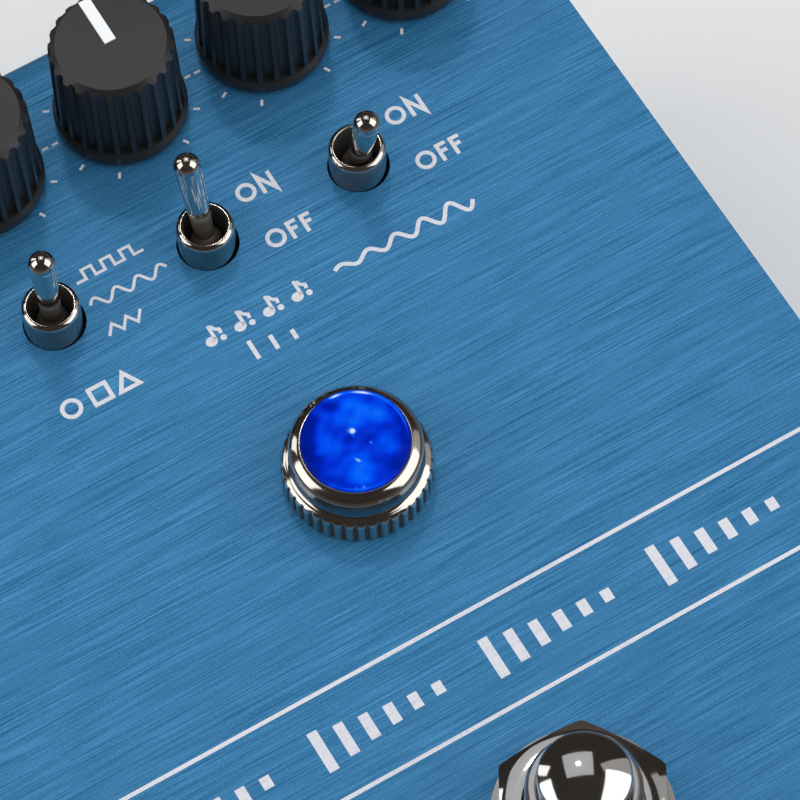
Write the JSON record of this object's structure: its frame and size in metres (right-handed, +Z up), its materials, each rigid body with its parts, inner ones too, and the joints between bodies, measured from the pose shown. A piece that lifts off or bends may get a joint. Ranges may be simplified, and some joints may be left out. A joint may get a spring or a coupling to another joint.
{
  "type": "delay pedal",
  "caption": "Delay pedal in a wedge-shaped shell of brushed blue aluminium, with fluted knobs, toggles, a blue jewel lamp, a footswitch, rear sockets and a hinged battery door.",
  "frame": {"origin": "on the floor, under the centre of the overall box", "axes": "+X to the player's right, +Y from the front to the sockets at the rear, +Z up"},
  "size_m": [0.1, 0.129, 0.0687],
  "materials": {
    "anodised_shell": "fine brushed lines across the pedal, blue anodised, satin",
    "black_steel": "powder coated, satin",
    "rubber": "matt",
    "circuit_board": "solder mask, semi-gloss",
    "brass": "turned",
    "steel": "plated, satin",
    "chrome": "bright nickel plate",
    "knob_plastic": "moulded, satin",
    "pointer_plastic": "translucent white",
    "black_plastic": "moulded, satin",
    "jewel_glass": "clear blue glass, polished, lit from behind",
    "led_resin": "clear tinted resin",
    "ribbon_grey": "ribbed",
    "header_ivory": "moulded",
    "battery_skin": "printed sleeve, satin"
  },
  "bodies": {
    "enclosure": {"top_shell": "anodised_shell", "front_wall": "anodised_shell", "rear_wall": "anodised_shell", "side_walls": "anodised_shell", "base_plate": "black_steel", "base_screws": "steel", "rubber_feet": "rubber", "control_board": "circuit_board", "board_fixings": "steel", "board_components": "black_plastic", "pot_cases": "steel", "pot_collars": "brass", "pot_nuts": "chrome", "toggle_cases": "black_plastic", "toggle_bushings": "chrome", "jewel_bezel": "chrome", "jewel_lens": "jewel_glass", "jewel_mounting": "steel", "indicator_led": "led_resin", "footswitch_case": "black_plastic", "footswitch_bushing": "chrome", "footswitch_clamps": "steel", "footswitch_nut": "chrome", "footswitch_spring": "steel", "input_jack": "black_plastic", "output_jack": "black_plastic", "jack_washers": "steel", "jack_nuts": "chrome", "jack_board": "circuit_board", "power_jack": "black_plastic", "light_switch_case": "steel", "ribbon_leads": "ribbon_grey", "ribbon_headers": "header_ivory", "catch_magnets": "steel", "hinge_pin": "steel", "battery_tray": "black_plastic", "battery": "battery_skin", "battery_clip": "black_plastic"},
    "time_control": {"time_knob": "knob_plastic", "time_pointer": "pointer_plastic", "time_shaft": "steel"},
    "feedback_control": {"feedback_knob": "knob_plastic", "feedback_pointer": "pointer_plastic", "feedback_shaft": "steel"},
    "level_control": {"level_knob": "knob_plastic", "level_pointer": "pointer_plastic", "level_shaft": "steel"},
    "depth_control": {"depth_knob": "knob_plastic", "depth_pointer": "pointer_plastic", "depth_shaft": "steel"},
    "rate_control": {"rate_knob": "knob_plastic", "rate_pointer": "pointer_plastic", "rate_shaft": "steel"},
    "mode_toggle": {"mode_lever": "chrome"},
    "division_toggle": {"division_lever": "chrome"},
    "voice_toggle": {"voice_lever": "chrome"},
    "stomp_button": {"footswitch_button": "chrome"},
    "light_slider": {"light_switch_slider": "black_plastic"},
    "door": {"battery_door": "anodised_shell", "door_magnets": "steel"}
  },
  "joints": [
    {"name": "time_turn", "type": "hinge", "parent": "enclosure", "child": "time_control", "pos_m": [-0.036, 0.04658, 0.05366], "axis": [0, -0.1132, 0.9936], "range_deg": [-150, 150]},
    {"name": "feedback_turn", "type": "hinge", "parent": "enclosure", "child": "feedback_control", "pos_m": [-0.018, 0.04658, 0.05366], "axis": [0, -0.1132, 0.9936], "range_deg": [-150, 150]},
    {"name": "level_turn", "type": "hinge", "parent": "enclosure", "child": "level_control", "pos_m": [0, 0.04658, 0.05366], "axis": [0, -0.1132, 0.9936], "range_deg": [-150, 150]},
    {"name": "depth_turn", "type": "hinge", "parent": "enclosure", "child": "depth_control", "pos_m": [0.018, 0.04658, 0.05366], "axis": [0, -0.1132, 0.9936], "range_deg": [-150, 150]},
    {"name": "rate_turn", "type": "hinge", "parent": "enclosure", "child": "rate_control", "pos_m": [0.036, 0.04658, 0.05366], "axis": [0, -0.1132, 0.9936], "range_deg": [-150, 150]},
    {"name": "mode_flip", "type": "hinge", "parent": "enclosure", "child": "mode_toggle", "pos_m": [-0.01918, 0.02673, 0.0522], "axis": [1, 0, 0], "range_deg": [-12.5, 12.5]},
    {"name": "division_flip", "type": "hinge", "parent": "enclosure", "child": "division_toggle", "pos_m": [-0.00018, 0.02673, 0.0522], "axis": [1, 0, 0], "range_deg": [0, 25]},
    {"name": "voice_flip", "type": "hinge", "parent": "enclosure", "child": "voice_toggle", "pos_m": [0.01882, 0.02673, 0.0522], "axis": [1, 0, 0], "range_deg": [-25, 0]},
    {"name": "footswitch_press", "type": "slide", "parent": "enclosure", "child": "stomp_button", "axis": [0, 0.1132, -0.9936], "range_m": [0, 0.003], "stiffness_N_per_m": 1500, "springref_m": -0.0015, "deforming": ["footswitch_spring"]},
    {"name": "light_switch_slide", "type": "slide", "parent": "enclosure", "child": "light_slider", "axis": [1, 0, 0], "range_m": [0, 0.002]},
    {"name": "door_swing", "type": "hinge", "parent": "enclosure", "child": "door", "pos_m": [0, -0.0629, 0.009], "axis": [1, 0, 0], "range_deg": [0, 90]}
  ]
}
